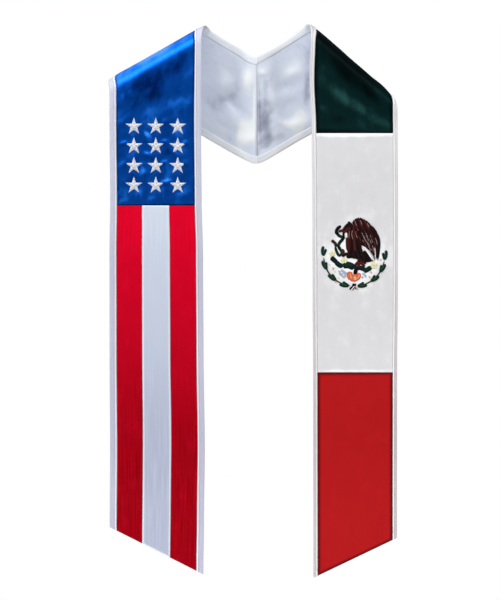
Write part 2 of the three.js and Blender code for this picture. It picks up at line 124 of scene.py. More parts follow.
# Waves down the front panels, in shares of HANG_WAVE, at shares of the way from the hem up to the fold
STRIPES_WAVES = table("""
at forward turn
0 0.9 0.9
0.14 -0.7 0.3
0.31 0.6 -0.7
0.48 -0.6 0.4
0.64 0.4 0
0.94 0.4 0
1 0 0
""")
TRICOLOUR_WAVES = table("""
at forward turn
0 0.6 -1
0.17 -0.8 -0.2
0.34 0.5 0.5
0.47 0 0
0.76 0 0
0.89 -0.8 0.4
1 0 0
""")
# How far the shoulder fold lies below its even height, from the inner edge to the outer edge
STRIPES_FOLD = table("""
across dip
0 0.3
0.08 0.9
0.88 0.9
1 2.8
""")
TRICOLOUR_FOLD = table("""
across dip
0 1.7
0.055 2.8
0.3 3
0.45 3.7
0.68 3.7
0.83 2.2
1 3
""")

# Where patches of wrinkle or light fade, along a band
NECK_STARTS = (1.88, 2.02)
FRONT_ENDS = (1.4, 1.9)

# Grid of the cloth meshes
PANEL_STEP = 2.6
STAR_FIELD_STEP = 2.0
LINING_STEP = 3.0


def smooth(low, high, at):
    share = np.clip((at - low) / (high - low), 0, 1)
    return share * share * (3 - 2 * share)


def eased(rows, column, key, at):
    """A column of a table between its rows, level at each row."""
    places = np.array([row[key] for row in rows])
    values = np.array([row[column] for row in rows])
    at = np.clip(at, places[0], places[-1])
    after = np.clip(np.searchsorted(places, at), 1, len(rows) - 1)
    share = smooth(places[after - 1], places[after], at)
    return values[after - 1] + (values[after] - values[after - 1]) * share


def mix(low, high, share):
    return low + (high - low) * share


class Band:
    """One half as a surface. Across is 0 at the inner edge and 1 at the outer edge. Along is 0 at the hem, 1
    and 2 at the two ends of the shoulder fold and 3 at the nape."""

    def __init__(self, half, edges, waves, fold, relief, sheen):
        self.half = half
        self.width = half["band_width"]
        self.trim_width = half["trim_width"]
        self.trim_back = min(TRIM_BACK_WIDTH, self.trim_width - PIPING_WIDTH)
        self.centre = half["side"] * (half["neck_gap"] + self.width / 2)
        self.edges = edges
        self.waves = waves
        self.fold = fold
        self.relief = relief
        self.sheen = sheen
        self.slope = math.radians(half["shoulder_slope"])
        self.length = sum(half["lengths"])
        self.fold_z = half["neck_rise"]
        self.hem_z = self.fold_z - self.length
        self.start_z = self.fold_z - FOLD_RISE / math.cos(self.slope)
        self.seams = [self.fold_z - drop for drop in np.cumsum(half["lengths"])[:-1]]
        self.seam_along = [self.along_at(z) for z in self.seams]
        hem_lift = self.width * math.tan(math.radians(half["hem_slope"]))
        reach = self.width * math.tan(self.slope)
        self.row_along = np.array([0.0, *reversed(self.seam_along), 1.0])
        self.row_outer_z = np.array([self.hem_z + hem_lift, *reversed(self.seams), self.start_z - reach])

    def along_at(self, z):
        return (z - self.hem_z) / (self.start_z - self.hem_z)

    def front_place(self, across, along):
        inner_z = mix(self.hem_z, self.start_z, along)
        outer_z = np.interp(along, self.row_along, self.row_outer_z)
        inner_drop = (self.fold_z - inner_z) / self.length
        outer_drop = (self.fold_z - outer_z) / self.length
        inner_x = self.half["neck_gap"] + self.width * eased(self.edges, "inner", "drop", inner_drop)
        outer_x = self.half["neck_gap"] + self.width * (1 + eased(self.edges, "outer", "drop", outer_drop))
        return mix(inner_x, outer_x, across), mix(inner_z, outer_z, across)

    def fold_base(self, across, share):
        x, z = self.front_place(across, np.ones_like(across))
        z = z + FOLD_LIFT * share * (1 - np.clip(across, 0, 1)) ** 3
        return x - FOLD_DRIFT * share * math.cos(self.slope), z + FOLD_DRIFT * share * math.sin(self.slope)

    def front(self, across, along):
        x, z = self.front_place(across, along)
        forward = eased(self.waves, "forward", "at", along)
        turn = eased(self.waves, "turn", "at", along) * (across - 0.5)
        below = (self.start_z - (x - self.half["neck_gap"]) * math.tan(self.slope) - z) * math.cos(self.slope)
        depth = self.round_over(np.clip(FOLD_LEAD - below, 0, FOLD_LEAD))
        return np.stack([x, -depth - HANG_WAVE * (forward + turn), z], -1)

    def round_over(self, height):
        """Depth of the front half of the fold at a height over the place where it starts."""
        share = np.clip(height / (FOLD_LEAD + FOLD_RISE), 0, 1)
        return SHOULDER_DEPTH / 2 * (1 + (1 - share**FOLD_ROUND) ** (1 / FOLD_ROUND))

    def arch(self, across, share):
        angle = math.pi * share
        height = np.sin(angle)
        rise = (FOLD_RISE - eased(self.fold, "dip", "across", across)) * height
        x, z = self.fold_base(across, share)
        tuck = self.half["fold_tuck"] * np.clip(across, 0, 1) ** 6
        tuck += FOLD_LEAN * np.clip(1 - across, 0, 1) ** 24
        front = self.round_over(FOLD_LEAD + FOLD_RISE * height)
        behind = SHOULDER_DEPTH / 2 * (1 + np.cos(angle))
        depth = np.where(angle < math.pi / 2, front, behind)
        x = x + rise * math.sin(self.slope) - tuck * height
        return np.stack([x, -depth, z + rise * math.cos(self.slope)], -1)

    def neck(self, across, share):
        bend = 4 * share * (1 - share)
        upper_x, upper_z = self.fold_base(np.zeros_like(across), 1.0)
        lower_x, lower_z = self.fold_base(np.ones_like(across), 1.0)
        upper_x = mix(upper_x, PIECE_GAP / 2, share)
        lower_x = mix(lower_x, PIECE_GAP / 2, share)
        radius = self.half["seam_round"]
        hook = self.half["upper_hook"] * np.exp(-(((share - HOOK_AT) / HOOK_LENGTH) ** 2))
        upper_z = mix(upper_z, NAPE_LIFT, share) - self.half["upper_sag"] * bend - hook
        lower_z = mix(lower_z, -NAPE_SEAM - NECK_PITCH * radius, share) - self.half["lower_sag"] * bend
        lower_z += NECK_PITCH * (np.hypot(lower_x, radius) - lower_x)
        bow = NECK_BOW * np.sin(math.pi * share) ** 2
        ridge = NAPE_RIDGE * smooth(0.55, 1, share) ** 2
        return np.stack([mix(upper_x, lower_x, across), bow - ridge, mix(upper_z, lower_z, across)], -1)

    def point(self, across, along):
        across, along = np.broadcast_arrays(np.asarray(across, float), np.asarray(along, float))
        front = self.front(across, np.clip(along, 0, 1))
        arch = self.arch(across, np.clip(along - 1, 0, 1))
        neck = self.neck(across, np.clip(along - 2, 0, 1))
        along = along[..., None]
        place = np.where(along <= 1, front, np.where(along <= 2, arch, neck))
        return place * [self.half["side"], 1, 1]

    def normal(self, across, along):
        """Points away from the wearer."""
        step = 1e-4
        sideways = self.point(across + step, along) - self.point(across - step, along)
        ahead = self.point(across, np.minimum(along + step, 3))
        back = self.point(across, np.maximum(along - step, 0))
        out = np.cross(sideways, ahead - back) * self.half["side"]
        return out / np.linalg.norm(out, axis=-1, keepdims=True)

    def place(self, across, along, height):
        """A point at a height over the band's middle, with the wrinkles of both layers."""
        base = self.point(across, along)
        swell = patches(self.relief, "neck", "height", base, along)
        swell = swell + patches(self.relief, "front", "height", base, along)
        return base + self.normal(across, along) * (height + swell)[..., None]

    def shine(self, across, along, part):
        """Painted highlight (up to 1) and painted shade (down to -1) on the satin of one part."""
        return patches(self.sheen, part, "light", self.point(across, along), along)

    def run(self, along):
        """Length along the middle of the band at each place."""
        centre = self.point(np.full_like(along, 0.5), along)
        return np.concatenate([[0.0], np.cumsum(np.linalg.norm(np.diff(centre, axis=0), axis=-1))])


def patches(tables, part, value, places, along):
    """Sum of long soft patches of the front or the neck part, by their places in the front view."""
    inside = smooth(*NECK_STARTS, along) if part == "neck" else 1 - smooth(*FRONT_ENDS, along)
    total = np.zeros_like(inside)
    for row in tables[part]:
        angle = math.radians(row["turn"])
        dx = places[..., 0] - row["x"]
        dz = places[..., 2] - row["z"]
        lengthwise = (dx * math.cos(angle) + dz * math.sin(angle)) / row["long"]
        crosswise = (dz * math.cos(angle) - dx * math.sin(angle)) / row["wide"]
        total += inside * row[value] * np.exp(-lengthwise**2 - crosswise**2)
    return total


class Build:
    """Gathers the vertices, faces, texture places and materials of one mesh."""

    def __init__(self):
        self.points = []
        self.faces = []
        self.places = []
        self.edges = []
        self.shines = []
        self.slots = []
        self.count = 0

    def add(self, points, faces, places, slot=0, edges=None, shines=None):
        points = np.asarray(points, float).reshape(-1, 3)
        self.points.append(points)
        self.places.append(np.asarray(places, float).reshape(-1, 2))
        self.edges.append(np.ones(len(points)) if edges is None else np.ravel(edges))
        self.shines.append(np.zeros(len(points)) if shines is None else np.ravel(shines))
        self.faces.extend([[self.count + i for i in face] for face in faces])
        self.slots.extend([slot] * len(faces))
        self.count += len(points)

    def finish(self, name, materials, sharp=50):
        points = np.concatenate(self.points) * MM
        places = np.concatenate(self.places)
        mesh = bpy.data.meshes.new(name)
        mesh.from_pydata(points.tolist(), [], self.faces)
        layer = mesh.uv_layers.new(name="cloth")
        corners = np.empty(len(mesh.loops), dtype=np.int64)
        mesh.loops.foreach_get("vertex_index", corners)
        layer.data.foreach_set("uv", places[corners].ravel())
        for title, values in (("edge", self.edges), ("shine", self.shines)):
            attribute = mesh.attributes.new(title, "FLOAT", "POINT")
            attribute.data.foreach_set("value", np.concatenate(values))
        mesh.polygons.foreach_set("material_index", self.slots)
        for material in materials:
            mesh.materials.append(material)
        work = bmesh.new()
        work.from_mesh(mesh)
        bmesh.ops.recalc_face_normals(work, faces=work.faces)
        work.to_mesh(mesh)
        work.free()
        mesh.shade_smooth()
        mesh.set_sharp_from_angle(angle=math.radians(sharp))
        obj = bpy.data.objects.new(name, mesh)
        bpy.context.collection.objects.link(obj)
        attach(obj, "root")
        return obj


def grid_faces(index):
    """The faces between neighbours in a grid of vertex numbers."""
    corners = np.stack([index[:-1, :-1], index[:-1, 1:], index[1:, 1:], index[1:, :-1]], -1)
    return corners.reshape(-1, 4).tolist()


def closed_sheet(name, band, across, along, top, bottom, material, distance, lit):
    """A closed sheet over a grid of places on a band, between the heights of its two faces."""
    a, l = np.meshgrid(across, along)
    places = np.stack([a * band.width * MM, np.broadcast_to(band.run(along)[:, None] * MM, a.shape)], -1)
    index = np.arange(a.size).reshape(a.shape)
    rim = np.concatenate([index[0], index[1:, -1], index[-1, -2::-1], index[-2:0:-1, 0]])
    after = np.roll(rim, -1)
    faces = grid_faces(index)
    faces += [face[::-1] for face in grid_faces(index + a.size)]
    faces += np.stack([after, rim, rim + a.size, after + a.size], -1).tolist()
    build = Build()
    points = [band.place(a, l, height).reshape(-1, 3) for height in (top, bottom)]
    build.add(
        np.concatenate(points),
        faces,
        np.concatenate([places.reshape(-1, 2)] * 2),
        edges=np.concatenate([distance.ravel()] * 2),
        shines=np.concatenate([band.shine(a, l, lit).ravel()] * 2),
    )
    return build.finish(name, [material])


def lines_between(low, high, step, roll):
    """Grid lines from one edge to another, close together where the edges round over."""
    near = [0.0, 0.1, 0.3, 0.6, 1.0]
    steps = max(2, round((high - low - 2 * roll) / step))
    middle = np.linspace(low + roll, high - roll, steps + 1)[1:-1]
    return np.array([low + roll * n for n in near] + list(middle) + [high - roll * n for n in near[::-1]])


def edge_drop(distance):
    """How far a layer rounds down towards its edge."""
    inwards = np.clip(distance / EDGE_ROLL, 0, 1)
    return FABRIC * EDGE_DROP * (1 - np.sqrt(1 - (1 - inwards) ** 2))


def sheet_grid(band, low, high, start, end, step, sewn_end=True):
    """Places over a stretch of a band, about a step apart, and how far each is from the nearest seam."""
    across = lines_between(low, high, step, EDGE_ROLL)
    samples = np.linspace(start, end, 400)
    run = band.run(samples)
    lines = lines_between(0.0, run[-1], step, EDGE_ROLL)
    along = np.interp(lines, run, samples)
    along[0] = start
    along[-1] = end
    near_side = np.minimum(across - low, high - across)
    near_end = np.minimum(lines, run[-1] - lines) if sewn_end else lines
    return across / band.width, along, np.minimum(near_side[None, :], near_end[:, None])


def panel(name, band, start, end, across_shares, material, extra=None, step=PANEL_STEP):
    """A panel of the outer layer, rounded over along its seams."""
    trim = band.trim_width / band.width
    clear = 1 - 2 * trim
    low = (trim + clear * across_shares[0]) * band.width + SEAM_GROOVE
    high = (trim + clear * across_shares[1]) * band.width - SEAM_GROOVE
    across, along, distance = sheet_grid(band, low, high, start, end, step, end < 3)
    top = OUTER + FABRIC - edge_drop(distance)
    if extra is not None:
        top = top + extra(band.point(*np.meshgrid(across, along))) * smooth(0.0, PUCKER_MARGIN, distance)
    bottom = np.full_like(top, OUTER)
    return closed_sheet(name, band, across, along, top, bottom, material, distance, "front")


def lining(band, material):
    low = band.trim_back + PIECE_GAP / 2
    across, along, distance = sheet_grid(band, low, band.width - low, 0.0, 3.0, LINING_STEP)
    top = np.full_like(distance, -PIECE_GAP / 2)
    bottom = INNER + edge_drop(distance)
    name = band.half["name"] + "_lining_sheet"
    return closed_sheet(name, band, across, along, top, bottom, material, distance, "neck")


def trim_profile(band):
    """The section of a border, as (distance in from the edge, height) round its outline."""
    width = band.trim_width - TRIM_CLEAR
    back = band.trim_back
    ridge = width - PIPING_WIDTH
    high = TRIM_HEIGHT
    top = [
        (0.0, 0.0), (0.15, 0.55 * high), (0.6, 0.88 * high), (1.4, high), (ridge * 0.6, high * 0.96),
        (ridge - 0.5, high * 0.86), (ridge, high * 0.66), (ridge + 0.3, high * 0.9),
        (ridge + 0.8, high + 0.5 * PIPING_HEIGHT), (width - PIPING_WIDTH / 2, high + PIPING_HEIGHT),
        (width - 0.8, high + 0.5 * PIPING_HEIGHT), (width - 0.2, high * 0.7), (width, high * 0.3),
    ]
    flap = band.half["flap_width"]
    under = INNER - FLAP_CLEAR
    low = [
        (width, OUTER * 0.3), (back, OUTER * 0.3), (back, under), (flap, under), (flap, under - 0.3),
        (flap - 0.4, -FLAP_HEIGHT + 0.15), (flap - 1.2, -FLAP_HEIGHT), (2.0, -FLAP_HEIGHT + 0.1),
        (0.9, -0.75 * FLAP_HEIGHT), (0.25, -0.4 * FLAP_HEIGHT),
    ]
    return np.array(top + low)


def trim(band, side, material):
    """A border along one edge of a half, from the hem over the shoulder to the nape."""
    samples = np.linspace(0, 3, 1200)
    run = band.run(samples)
    along = np.interp(np.linspace(0, run[-1], round(run[-1] / PANEL_STEP)), run, samples)
    inwards, heights = trim_profile(band).T
    across = inwards / band.width
    a, l = np.meshgrid(1 - across if side == "outer" else across, along)
    points = band.place(a, l, np.broadcast_to(heights, a.shape))
    index = np.arange(a.size).reshape(a.shape)
    faces = grid_faces(np.hstack([index, index[:, :1]])) + [index[0].tolist(), index[-1, ::-1].tolist()]
    lengths = np.interp(along, samples, run)
    places = np.stack([np.broadcast_to(inwards * MM, a.shape), lengths[:, None] * MM + 0 * a], -1)
    ridge = band.trim_width - TRIM_CLEAR - PIPING_WIDTH
    piping = smooth(ridge + 0.6, ridge + 2.0, inwards) * (heights > OUTER)
    build = Build()
    # The neck part's painted light and shade, and a painted highlight along the piping.
    build.add(points, faces, places, shines=band.shine(a, l, "neck") + PIPING_LIGHT * piping)
    return build.finish(f"{band.half['name']}_trim_{side}_sewn", [material], sharp=75)


# Stars
STAR_RADIUS = 13.1
STAR_WAIST = 0.39
STAR_COLUMNS = 3
STAR_ROWS = 4
STAR_COLUMN_PITCH = 32.4
STAR_ROW_PITCH = 29.1
STAR_SEAM_MARGIN = 29.6
STAR_EDGE = 0.5  # height of a star's rim over the satin
STAR_HEIGHT = 2.3
STAR_RING = 0.35  # how far the satin stands up round a star
STAR_SINK = 0.45  # how far a star draws it in
ON_FRONT = (-35.0, -20.0)  # depth where the star field's little folds fade out


def star_centres(band):
    for row in range(STAR_ROWS):
        for column in range(STAR_COLUMNS):
            x = band.centre + (column - (STAR_COLUMNS - 1) / 2) * STAR_COLUMN_PITCH
            z = band.seams[0] + STAR_SEAM_MARGIN + (STAR_ROWS - 1 - row) * STAR_ROW_PITCH
            yield x, z


def face_depth(band, along):
    return band.point(0.5, along)[1] - OUTER - FABRIC


def star_sector(tip, valley, steps=7):
    """Points of one half arm of a star, with how far in from the outline each lies (0 to 1)."""
    points = []
    for i in range(steps + 1):
        inwards = 1 - i / steps
        for j in range(i + 1):
            share = j / i if i else 0.0
            points.append((*mix(tip, valley, share) * (i / steps), inwards))
    faces = []
    for i in range(1, steps + 1):
        start = i * (i + 1) // 2
        above = (i - 1) * i // 2
        for j in range(i):
            faces.append([start + j, start + j + 1, above + j])
            if j < i - 1:
                faces.append([above + j, start + j + 1, above + j + 1])
    return np.array(points), faces


def turned(angle, reach=1.0):
    return reach * np.array([math.cos(angle), math.sin(angle)])


def stars(band, material):
    depth = face_depth(band, (band.seam_along[0] + 1) / 2)
    build = Build()
    for x, z in star_centres(band):
        for arm in range(5):
            middle = math.pi / 2 + arm * math.tau / 5
            for side in (-1, 1):
                valley = turned(middle + side * math.pi / 5, STAR_RADIUS * STAR_WAIST)
                flat, faces = star_sector(turned(middle, STAR_RADIUS), valley)
                rise = STAR_EDGE + (STAR_HEIGHT - STAR_EDGE) * flat[:, 2] ** 0.85
                along = flat[:, 0] * math.cos(middle) + flat[:, 1] * math.sin(middle)
                aside = flat[:, 1] * math.cos(middle) - flat[:, 0] * math.sin(middle)
                places = np.stack([along, aside], -1) * MM
                points = np.stack([x + flat[:, 0], depth - rise, z + flat[:, 1]], -1)
                build.add(points, faces, places)
                rim = np.flatnonzero(flat[:, 2] < 1e-6)
                low = points[rim] + [0, STAR_EDGE + 0.6, 0]
                walls = grid_faces(np.arange(2 * len(rim)).reshape(2, -1))
                build.add(np.concatenate([points[rim], low]), walls, np.concatenate([places[rim]] * 2))
    return build.finish("stars_stitched", [material], sharp=60)


# Shading
def linear(rgb):
    """Linear colour from 0 to 255 screen values."""
    values = [v / 255 for v in rgb]
    return tuple(v / 12.92 if v <= 0.04045 else ((v + 0.055) / 1.055) ** 2.4 for v in values)


def darker(colour, share):
    return tuple(c * share for c in colour)


class Nodes:
    """Short calls for the nodes of one material or world. An input takes a value or another node's output."""

    def __init__(self, tree):
        self.tree = tree

    def join(self, socket, value):
        if isinstance(value, bpy.types.NodeSocket):
            self.tree.links.new(value, socket)
        elif isinstance(value, tuple) and socket.type == "RGBA":
            socket.default_value = (*value, 1)
        else:
            socket.default_value = value

    def add(self, kind, *inputs, **settings):
        node = self.tree.nodes.new("ShaderNode" + kind)
        for name, value in settings.items():
            setattr(node, name, value)
        for name, value in inputs:
            self.join(node.inputs[name], value)
        return node

    def attribute(self, name):
        return self.add("Attribute", attribute_name=name).outputs["Fac"]

    def cloth(self, *scale):
        """The cloth's own texture places, stretched."""
        source = self.add("UVMap", uv_map="cloth").outputs["UV"]
        return self.add("Mapping", ("Vector", source), ("Scale", scale)).outputs["Vector"]

    def noise(self, places, scale, detail=2.0, rough=0.5):
        inputs = ("Vector", places), ("Scale", scale), ("Detail", detail), ("Roughness", rough)
        return self.add("TexNoise", *inputs).outputs["Fac"]

    def bump(self, height, strength, distance, *before):
        inputs = ("Height", height), ("Strength", strength), ("Distance", distance)
        return self.add("Bump", *inputs, *[("Normal", normal) for normal in before]).outputs["Normal"]

    def blend(self, factor, first, second):
        inputs = ("Factor", factor), ("A", first), ("B", second)
        return self.add("Mix", *inputs, data_type="RGBA").outputs["Result"]

    def ranged(self, value, low, high, to_low=0.0, to_high=1.0):
        names = ("Value", "From Min", "From Max", "To Min", "To Max")
        inputs = zip(names, (value, low, high, to_low, to_high))
        return self.add("MapRange", *inputs, interpolation_type="SMOOTHSTEP").outputs["Result"]


def new_material(name, roughness, specular, tint=(1, 1, 1), anisotropic=0.0, metallic=0.0):
    material = bpy.data.materials.new(name)
    material.use_nodes = True
    shader = material.node_tree.nodes["Principled BSDF"]
    shader.inputs["Roughness"].default_value = roughness
    shader.inputs["Specular IOR Level"].default_value = specular
    shader.inputs["Specular Tint"].default_value = (*tint, 1)
    shader.inputs["Anisotropic"].default_value = anisotropic
    shader.inputs["Metallic"].default_value = metallic
    return material, Nodes(material.node_tree), shader.inputs


BACK_DEPTH = (-0.022, -0.006)  # metres, where the trims go over to the lighter behind colour on the neck part, painted light


def satin(name, top, bottom=None, fall=(0.05, -0.75), roughness=0.36, specular=0.3, tint=(1, 1, 1),
          wrinkle=0.3, streak=0.02, metallic=0.0, seam=None, shine=None, behind=None):
    """Satin: long floats of thread down the band, a soft crumple, and a painted shade that darkens the colour
    from top towards bottom.

    Seam is the colour painted beside a seam, its reach and its strength: painted shade along most seams, and
    a painted highlight along the white stripes. Shine is the painted highlight colour, the painted shade
    colour, and how much of both is spread at random in clouds. Behind is a lighter colour painted on the neck
    part, painted light.
    """
    material, nodes, shader = new_material(name, roughness, specular, tint, 0.4, metallic)
    top = linear(top)
    bottom = linear(bottom) if bottom else top
    height = nodes.add("SeparateXYZ", (0, nodes.add("TexCoord").outputs["Object"])).outputs
    # Painted shade: the colour goes over from top to bottom with height, darker towards the bottom.
    colour = nodes.blend(nodes.ranged(height["Z"], fall[1], fall[0], 1.0, 0.0), top, bottom)
    threads = nodes.noise(nodes.cloth(900, 14, 1), 1.0, 3.0)
    between = darker(mix(np.array(top), np.array(bottom), 0.5), 1 - streak)
    colour = nodes.blend(nodes.ranged(threads, 0.35, 0.65, 0.0, 0.5), colour, between)
    # Painted light: the trims' neck part, further back, gets a lighter colour.
    if behind:
        colour = nodes.blend(nodes.ranged(height["Y"], *BACK_DEPTH), colour, linear(behind))
    # Painted highlight and painted shade: the shine attribute, with random clouds, mixes the colour towards
    # the light or the shade colour; where the highlight is painted the satin is less metallic.
    if shine:
        light, shade, mottle = shine
        clouds = nodes.noise(nodes.cloth(1, 0.7, 1), 46.0, 3.0, 0.55)
        mottled = nodes.ranged(clouds, 0.3, 0.7, -mottle, mottle)
        lit = nodes.add("Math", (0, nodes.attribute("shine")), (1, mottled), operation="ADD").outputs[0]
        colour = nodes.blend(nodes.ranged(lit, -1.0, 0.0, 1.0, 0.0), colour, linear(shade))
        colour = nodes.blend(nodes.ranged(lit, 0.0, 1.0), colour, linear(light))
        nodes.join(shader["Metallic"], nodes.ranged(lit, 0.0, 1.0, metallic, 0.0))
    # Painted shade along the seams, or on the white stripes a painted highlight, fading out within the seam's
    # reach.
    if seam:
        painted_seam_colour, reach, strength = seam
        seam_paint = nodes.ranged(nodes.attribute("edge"), 0.2, reach, strength, 0.0)
        colour = nodes.blend(seam_paint, colour, linear(painted_seam_colour))
    nodes.join(shader["Base Color"], colour)
    crumple = nodes.noise(nodes.cloth(1, 0.45, 1), 38.0, 2.0, 0.45)
    fine = nodes.noise(nodes.cloth(1, 0.25, 1), 220.0, 1.0, 0.5)
    normal = nodes.bump(crumple, wrinkle, 0.003)
    normal = nodes.bump(fine, wrinkle * 0.35, 0.0006, normal)
    nodes.join(shader["Normal"], nodes.bump(threads, 0.25, 0.00012, normal))
    return material


THREAD_WAVE = 900.0 / 6.28  # scale of the wave pattern, for threads about 2 mm apart


def thread(name, colour, dark, specular=0.12):
    """Satin stitch: threads side by side, each a rounded line, with painted shade in the grooves between them
    and a little random difference of tone.
    """
    material, nodes, shader = new_material(name, 0.45, specular, anisotropic=0.3)
    colour = linear(colour)
    shade = darker(colour, dark)
    places = nodes.cloth(1, 1, 1)
    inputs = ("Vector", places), ("Scale", THREAD_WAVE), ("Distortion", 0.6), ("Detail", 1.0)
    wave = nodes.add("TexWave", *inputs, wave_type="BANDS", bands_direction="X", wave_profile="SIN")
    wave = wave.outputs["Fac"]
    patchy = nodes.noise(places, 420.0, 2.0)
    base = nodes.blend(nodes.ranged(patchy, 0.35, 0.7, 0.0, 0.6), colour, shade)
    # Painted shade in the grooves between the threads.
    base = nodes.blend(nodes.ranged(wave, 0.0, 0.4, 0.5, 0.0), base, shade)
    nodes.join(shader["Base Color"], base)
    normal = nodes.bump(wave, 0.35, 0.0004)
    nodes.join(shader["Normal"], nodes.bump(patchy, 0.3, 0.0006, normal))
    return material


# Where a satin has a second colour, it is painted shade, darker towards the bottom. Seam colours are painted
# shade along the seams, and a painted highlight on the white stripes. Shine colours are painted highlight and
# painted shade.
BLUE = satin("blue_satin", (15, 117, 255), roughness=0.28, tint=(0.2, 0.6, 1.0), wrinkle=0.45, streak=0.12,
             metallic=0.86, seam=((1, 20, 64), 3.4, 0.9), shine=((50, 140, 240), (2, 54, 150), 0.34))
RED = satin("red_satin", (246, 3, 46), (134, 0, 5), (-0.1, -0.64), roughness=0.44, specular=0.2,
            tint=(1.0, 0.2, 0.3), streak=0.04, seam=((150, 2, 14), 2.0, 0.5),
            shine=((255, 24, 66), (120, 0, 8), 0.16))
WHITE_STRIPE = satin("white_stripe_satin", (222, 231, 244), (170, 175, 196), (-0.12, -0.62),
                     seam=((240, 247, 253), 3.0, 0.85))
GREEN = satin("green_satin", (7, 38, 39), roughness=0.4, specular=0.2, tint=(0.5, 0.8, 0.8), wrinkle=0.5,
              streak=0.12, metallic=0.5, seam=((0, 1, 1), 7.0, 0.98), shine=((36, 80, 76), (0, 8, 9), 0.2))
WHITE = satin("white_satin", (221, 220, 222), (220, 218, 219), (-0.12, -0.46), roughness=0.5, wrinkle=0.25,
              shine=((253, 253, 253), (204, 202, 206), 0.25))
CRIMSON = satin("crimson_satin", (189, 23, 26), (172, 20, 23), roughness=0.5, specular=0.2,
                tint=(1.0, 0.4, 0.4), wrinkle=0.25, streak=0.04, seam=((84, 2, 4), 6.5, 0.97),
                shine=((214, 40, 42), (150, 12, 14), 0.16))
# The trims' second colour is painted shade towards the bottom, and their behind colour is painted light on
# the neck part.
TRIMS = {
    "stripes": satin("stripes_trim_satin", (210, 211, 226), (190, 189, 206), (0.0, -0.6), roughness=0.42,
                     specular=0.35, wrinkle=0.35, streak=0.03, metallic=0.05, behind=(232, 236, 245),
                     shine=((252, 254, 255), (168, 172, 190), 0.0)),
    "tricolour": satin("tricolour_trim_satin", (228, 226, 227), (196, 186, 187), (-0.15, -0.6),
                       roughness=0.45, metallic=0.05, behind=(232, 235, 242),
                       shine=((254, 253, 252), (168, 172, 188), 0.0)),
}
# The linings' seam colours are painted shade along the seams; their shine colours are painted highlight and
# painted shade.
LININGS = {
    name: satin(name + "_lining_satin", colour, specular=0.6, wrinkle=0.42, metallic=0.05, seam=seam,
                shine=((252, 255, 255), shade, 0.26))
    for name, colour, seam, shade in [
        ("stripes", (230, 237, 252), ((196, 200, 216), 2.0, 0.7), (156, 160, 182)),
        ("tricolour", (230, 236, 249), ((120, 124, 140), 2.4, 0.7), (148, 152, 172)),
    ]
}
STAR_THREAD = thread("star_thread", (236, 238, 244), 0.45, specular=0.4)
THREADS = {
    name: thread(name + "_thread", colour, dark)
    for name, colour, dark in [
        ("brown", (42, 11, 11), 0.4),
        ("red_brown", (88, 29, 25), 0.4),
        ("black", (13, 6, 8), 0.5),
        ("grey", (186, 172, 170), 0.5),
        ("green", (8, 50, 36), 0.35),
        ("light_leaf", (34, 104, 70), 0.4),
        ("teal", (8, 34, 40), 0.35),
        ("olive", (56, 42, 26), 0.4),
        ("orange", (222, 114, 80), 0.7),
        ("amber", (244, 186, 132), 0.75),
        ("pale_blue", (176, 188, 208), 0.72),
        ("yellow", (236, 234, 186), 0.85),
        ("pink", (216, 170, 160), 0.75),
        ("white", (246, 246, 248), 0.85),
    ]
}

# Wrinkles of both layers, by their place in the front view. On the neck part a negative height comes forward.
STRIPES_RELIEF = {"front": table("""
x z long wide turn height
-112 -73 22 10 20 1.5
-161 -85 10 6 60 0.8
-190 -60 22 9 25 0.8
"""), "neck": table("""
x z long wide turn height
-14 -39 17 9 70 -2.8
-17 -122 17 10 10 -2.4
-48 -40 16 12 20 -2.2
-44 -58 26 9 28 2
-40 -92 20 12 30 -2
-26 -76 30 8 -50 1.8
""")}
TRICOLOUR_RELIEF = {"front": table("""
x z long wide turn height
130 -60 26 9 -42 1.8
168 -88 30 8 -26 1.6
104 -26 20 7 -50 1.2
"""), "neck": table("""
x z long wide turn height
9 -20 9 6 20 -1.8
62 -98 16 9 10 -2.6
42 -96 20 6 -25 -1.6
18 -104 36 9 84 2
58 -20 14 9 30 -2
20 -60 18 8 -60 -1.8
44 -42 16 9 20 1.6
50 -66 14 8 0 1.2
""")}

# Painted highlights (light above 0) and painted shade (below 0), laid into the satin's colour, by their place
# in the front view
STRIPES_SHEEN = {"front": table("""
x z long wide turn light
-152 -1 60 9 29 0.5
-150 7 62 7 29 0.42
-186 -28 20 8 24 0.25
-148 -28 50 12 29 -0.9
-164 -58 44 14 12 -0.62
-114 -61 26 11 22 0.3
-176 -92 24 9 14 0.16
-101 -84 16 6 40 0.14
-162 -79 9 5 40 0.25
-132 -89 8 3 10 0.25
-162.5 -113 5.4 2.8 -42 0.95
-162.5 -141 4.8 3.4 -20 0.9
-167 -167 3.2 6 10 0.6
-171 -156 3 4 0 0.3
-194 -124.5 9 3 4 0.35
-133 -181.5 8 2.6 8 0.75
-135 -122.5 6 2.6 0 0.4
-137 -153 5 2.6 10 0.4
-105 -123.5 6 2.8 10 0.35
-106 -152.5 6 3 0 0.35
-91 -131 5 10 10 0.2
-91 -160 5 9 0 0.2
-200 -112 8 3 40 0.18
-172 -201 7 2.6 84 0.4
-138 -200 7 2.4 92 0.35
-106 -200 14 4 18 0.3
-158 -208 12 3 4 0.25
-196 -211 9 3 12 0.25
-94 -213.5 2.6 1.6 20 0.7
-206 -199.5 2.2 1.4 30 0.7
-164 -125 6 3 -40 -0.7
-154 -150 5 4 30 -0.6
-196 -168 12 9 0 -0.3
-130 -140 7 4 0 -0.4
"""), "neck": table("""
x z long wide turn light
-14 -31 20 11 80 1
-16 -110 20 14 80 1.5
-48 -30 16 11 70 0.45
-30 -40 15 9 60 -0.35
-35 -114 16 8 60 -0.6
-52 -103 30 6 -28 0.3
-43 -131 52 5 -29.5 1.3
-45 18 52 5 -33 0.7
-68 -24 16 8 80 0.25
-2.5 -74 62 2.6 89 0.9
-52 -104 12 8 30 0.25
-52 -66 20 12 30 -0.35
""")}
